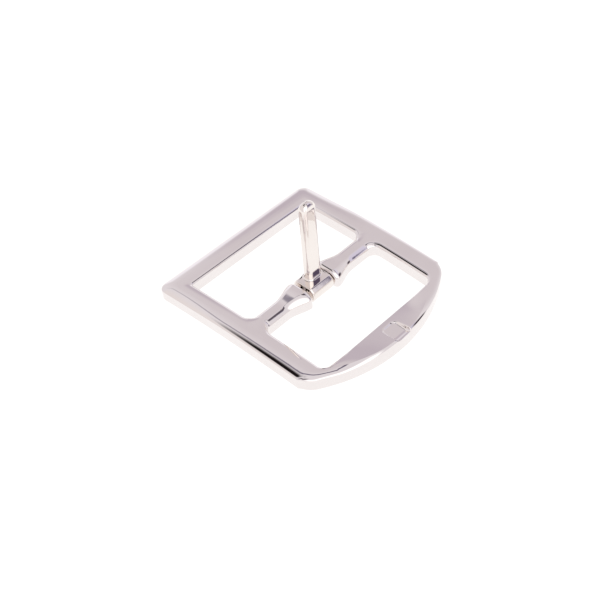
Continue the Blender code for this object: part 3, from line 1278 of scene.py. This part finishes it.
CARDS = (
    Card(-26.0, 40.0, 34.0, 20.0, Tone.ROOF, 20.0, 0.6),
    Card(-52.0, 40.0, 13.0, 9.0, Tone.DIM, 0.0, 0.5),
    Card(-35.0, -50.0, 20.0, 48.0, Tone.WARM, 0.0, 0.4),
    Card(-46.0, 72.0, 15.0, 19.0, Tone.PALE, 20.0, 0.35),
    Card(-84.0, 36.0, 20.0, 15.0, Tone.PALE, 0.0, 0.3),
    Card(60.0, 0.0, 40.0, 19.0, Tone.BRIGHT, 0.0, 0.25),
    Card(40.0, -32.0, 32.0, 24.0, Tone.BRIGHT, -35.0, 0.3),
    Card(36.0, 38.0, 38.0, 7.0, Tone.LILAC, 11.0, 0.4),
    Card(16.0, 27.0, 60.0, 2.0, Tone.VIOLET, 15.0, 0.5),
    Card(50.0, 57.0, 17.0, 9.0, Tone.MAUVE, 35.0, 0.4),
    Card(-2.0, -16.0, 4.5, 13.0, Tone.DUSK, 10.0, 0.5),
    Card(7.0, 25.0, 10.0, 4.5, Tone.DUSK, 12.0, 0.5),
    Card(-25.0, 0.5, 10.5, 11.0, Tone.BLACK, 0.0, 0.45),
)


@dataclass
class Studio:
    """A pale glowing table in a light tent, with softboxes and dark flags on the tent."""

    table_size: float = 6.0
    table_glow: tuple[float, float, float] = (1.0, 0.995, 0.99)
    table_paint: float = 0.1
    cards: tuple[Card, ...] = CARDS

    def build(self) -> None:
        """Set up the table and the tent, and show their tones as they are."""
        self.table()
        self.tent()
        bpy.context.scene.view_settings.view_transform = "Standard"

    def table(self) -> None:
        """Lay the table, a square sheet under the buckle."""
        half = self.table_size / 2
        corners = [(-half, -half, 0.0), (half, -half, 0.0), (half, half, 0.0), (-half, half, 0.0)]
        mesh = bpy.data.meshes.new("table")
        mesh.from_pydata(corners, [], [(0, 1, 2, 3)])
        material = bpy.data.materials.new("table")
        material.use_nodes = True
        shader = material.node_tree.nodes["Principled BSDF"]
        shader.inputs["Base Color"].default_value = (*(self.table_paint,) * 3, 1.0)
        shader.inputs["Roughness"].default_value = 1.0
        shader.inputs["Emission Color"].default_value = (*self.table_glow, 1.0)
        shader.inputs["Emission Strength"].default_value = 1.0
        mesh.materials.append(material)
        made = bpy.data.objects.new("table", mesh)
        bpy.context.collection.objects.link(made)

    def tent(self) -> None:
        """Light the world with the tent's tone and lay the cards over it in turn."""
        world = bpy.data.worlds.new("tent")
        world.use_nodes = True
        bpy.context.scene.world = world
        tree = world.node_tree
        where = add_node(tree, "TexCoord", {}).outputs["Generated"]
        parts = add_node(tree, "SeparateXYZ", {"Vector": where}).outputs
        steep = add_node(tree, "Math", {0: parts["Z"]}, operation="ARCCOSINE")
        degrees = add_node(tree, "Math", {0: steep.outputs[0]}, operation="DEGREES")
        level = add_node(tree, "CombineXYZ", {"X": parts["X"], "Y": parts["Y"]})
        unit = add_node(tree, "VectorMath", {0: level.outputs[0]}, operation="NORMALIZE")
        inputs = {0: unit.outputs[0], "Scale": degrees.outputs[0]}
        layout = add_node(tree, "VectorMath", inputs, operation="SCALE").outputs["Vector"]

        shade = add_node(tree, "RGB", {}).outputs[0]
        shade.default_value = (*Tone.TENT.value, 1.0)
        for card in self.cards:
            shade = self.laid_over(tree, layout, shade, card)
        tree.links.new(shade, tree.nodes["Background"].inputs["Color"])

    @staticmethod
    def laid_over(
        tree: bpy.types.NodeTree,
        layout: bpy.types.NodeSocket,
        shade: bpy.types.NodeSocket,
        card: Card,
    ) -> bpy.types.NodeSocket:
        """Lay one card over what is there, with a soft edge.

        Args:
            tree: The world's nodes.
            layout: Place on the tent's plan.
            shade: Colour so far.
            card: The card.

        Returns:
            The new colour.
        """
        inputs = {
            "Vector": layout,
            "Location": (card.x, card.y, 0.0),
            "Rotation": (0.0, 0.0, math.radians(card.turn)),
            "Scale": (card.half_x, card.half_y, 1.0),
        }
        place = add_node(tree, "Mapping", inputs, vector_type="TEXTURE")
        reach = add_node(tree, "VectorMath", {0: place.outputs["Vector"]}, operation="LENGTH")
        inputs = {"From Min": 1.0 - card.soft, "From Max": 1.0 + card.soft, "To Min": 1.0, "To Max": 0.0}
        inputs["Value"] = reach.outputs["Value"]
        cover = add_node(tree, "MapRange", inputs, interpolation_type="SMOOTHSTEP").outputs["Result"]
        inputs = {MIX_FACTOR: cover, MIX_LOW: shade, MIX_HIGH: (*card.tone.value, 1.0)}
        return add_node(tree, "Mix", inputs, data_type="RGBA").outputs[MIX_RESULT]


def dress(piece: bpy.types.Object, part: Piece, finish: Plating) -> None:
    """Give a casting its finish and tie it to the body that it moves with.

    Args:
        piece: The finished mesh.
        part: Which casting it is.
        finish: Its plating.
    """
    piece.data.materials.append(finish.build())
    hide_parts(part.node)
    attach(piece, part.body)
    LOG.info("%s: %d faces", piece.name, len(piece.data.polygons))


def main() -> None:
    """Build the castings, the studio and the camera in order."""
    logging.basicConfig(level=logging.INFO, format="%(name)s: %(message)s")
    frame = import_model()
    Viewpoint().build()
    Studio().build()

    hinge = frame["joints"][0]["pos_m"]
    low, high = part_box(Piece.FRAME.node)
    casting = FrameCasting(low=low, high=high, axle_x=hinge[0], axle_z=hinge[2])
    nickel = Plating("frame_nickel", (0.86, 0.82, 0.81), (0.80, 0.75, 0.74))
    dress(casting.build(), Piece.FRAME, nickel)

    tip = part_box(Piece.TONGUE.node)[1]
    tongue = TongueCasting(axle_x=hinge[0], axle_z=hinge[2], tip_z=tip.z)
    bright = Plating("tongue_nickel", (0.88, 0.83, 0.80), (0.82, 0.76, 0.72))
    dress(tongue.build(), Piece.TONGUE, bright)


if __name__ == "__main__":
    main()
